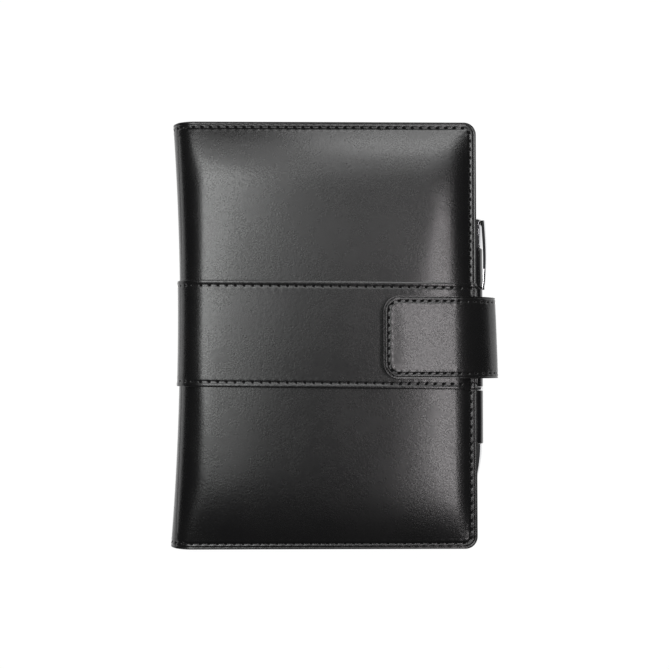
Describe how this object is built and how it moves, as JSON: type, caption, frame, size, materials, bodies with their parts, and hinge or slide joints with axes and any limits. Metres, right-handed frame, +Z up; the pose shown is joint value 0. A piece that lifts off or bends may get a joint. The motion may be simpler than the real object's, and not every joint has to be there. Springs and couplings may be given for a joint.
{
  "type": "leather notebook cover",
  "caption": "Padded leather notebook cover with a half-round spine, a sewn band, a snap strap round the fore edge, a notebook inside and a twist pen in a loop.",
  "frame": {"origin": "on the table under the middle of the closed cover", "axes": "+X from the spine to the fore edge, +Y to the head of the book, +Z up through the front cover"},
  "size_m": [0.1713, 0.22, 0.035],
  "materials": {
    "cover_leather": "smooth satin black leather",
    "lining": "matt black lining leather",
    "foam": "grey padding foam",
    "board": "grey binder's board",
    "notebook_card": "matt black card",
    "paper": "cream writing paper",
    "pen_lacquer": "gloss black lacquer",
    "pen_chrome": "polished chrome",
    "snap_nickel": "satin nickel plate",
    "refill_brass": "plain brass"
  },
  "bodies": {
    "back_cover": {"back_leather": "cover_leather", "back_foam": "foam", "back_board": "board", "back_lining": "lining", "back_pocket": "lining", "back_band": "cover_leather", "notebook_back_card": "notebook_card", "page_block": "paper", "notebook_spine_strip": "notebook_card", "pen_loop": "cover_leather", "strap_root": "cover_leather"},
    "spine_lower": {"spine_lower_leather": "cover_leather", "spine_lower_lining": "lining", "spine_lower_band": "cover_leather"},
    "spine_upper": {"spine_upper_leather": "cover_leather", "spine_upper_lining": "lining", "spine_upper_band": "cover_leather"},
    "front_cover": {"front_leather": "cover_leather", "front_foam": "foam", "front_board": "board", "front_lining": "lining", "front_pocket": "lining", "front_band": "cover_leather", "notebook_front_card": "notebook_card", "snap_stud": "snap_nickel"},
    "strap_side": {"strap_side_leather": "cover_leather", "strap_side_lining": "lining"},
    "strap_tab": {"strap_tab_leather": "cover_leather", "strap_tab_lining": "lining", "snap_socket": "snap_nickel"},
    "pen_upper": {"pen_upper_barrel": "pen_lacquer", "pen_cap": "pen_chrome", "pen_clip": "pen_chrome", "pen_ring": "pen_chrome"},
    "pen_lower": {"pen_lower_barrel": "pen_lacquer", "pen_tip_cone": "pen_chrome"},
    "pen_refill_body": {"pen_refill": "refill_brass"}
  },
  "joints": [
    {"name": "spine_fold", "type": "hinge", "parent": "spine_lower", "child": "spine_upper", "pos_m": [-0.0856, 0, 0.0153], "axis": [0, -1, 0], "range_deg": [0, 90]},
    {"name": "back_crease", "type": "hinge", "parent": "back_cover", "child": "spine_lower", "pos_m": [-0.0733, 0, 0.0038], "axis": [0, -1, 0], "range_deg": [0, 45]},
    {"name": "front_crease", "type": "hinge", "parent": "spine_upper", "child": "front_cover", "pos_m": [-0.0733, 0, 0.0268], "axis": [0, -1, 0], "range_deg": [0, 45]},
    {"name": "strap_swing", "type": "hinge", "parent": "back_cover", "child": "strap_side", "pos_m": [0.07345, -0.0018, 0.0012], "axis": [0, 1, 0], "range_deg": [0, 30]},
    {"name": "tab_lift", "type": "hinge", "parent": "strap_side", "child": "strap_tab", "pos_m": [0.0782, -0.0018, 0.03105], "axis": [0, 1, 0], "range_deg": [0, 150]},
    {"name": "pen_slide", "type": "slide", "parent": "back_cover", "child": "pen_upper", "axis": [0, 1, 0], "range_m": [0, 0.1]},
    {"name": "pen_twist", "type": "hinge", "parent": "pen_upper", "child": "pen_lower", "pos_m": [0.0736, -0.0303, 0.0153], "axis": [0, 1, 0], "range_deg": [0, 180]},
    {"name": "refill_slide", "type": "slide", "parent": "pen_upper", "child": "pen_refill_body", "axis": [0, -1, 0], "range_m": [0, 0.003]}
  ],
  "couplings": [
    {"joint": "back_crease", "follows": "spine_fold", "ratio": 0.5},
    {"joint": "front_crease", "follows": "spine_fold", "ratio": 0.5},
    {"joint": "pen_twist", "follows": "refill_slide", "rad_per_m": 1047}
  ]
}
